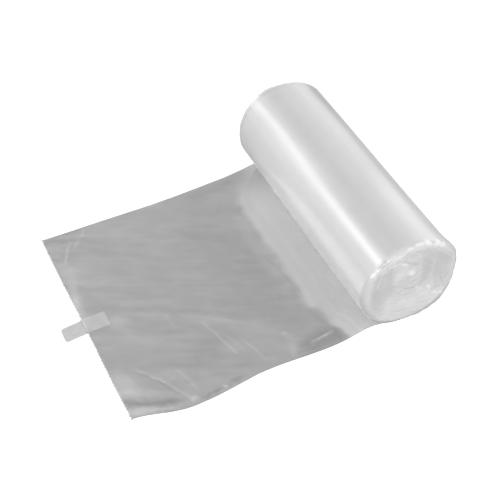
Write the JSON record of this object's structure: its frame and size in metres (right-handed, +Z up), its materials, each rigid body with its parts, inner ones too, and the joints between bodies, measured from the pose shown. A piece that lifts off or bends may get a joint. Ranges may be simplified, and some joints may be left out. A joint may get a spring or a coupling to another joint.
{
  "type": "bin bag roll",
  "caption": "Coreless roll of clear bin bags lying on its side, with the first bag drawn out flat and a strip of starter tape on its torn edge.",
  "frame": {"origin": "middle of the flat spot that the roll rests on, on the surface it lies on", "axes": "+Z up, +Y along the roll's axis towards its far end, -X along the drawn-out web towards its torn edge"},
  "size_m": [0.2585, 0.1934, 0.0746],
  "materials": {
    "film": "clear thin film, milky where it is wound, with a soft satin gloss",
    "tape": "clear adhesive tape, matt on its back"
  },
  "bodies": {
    "root": {"bag_roll": "film", "starter_tape": "tape"}
  },
  "joints": []
}
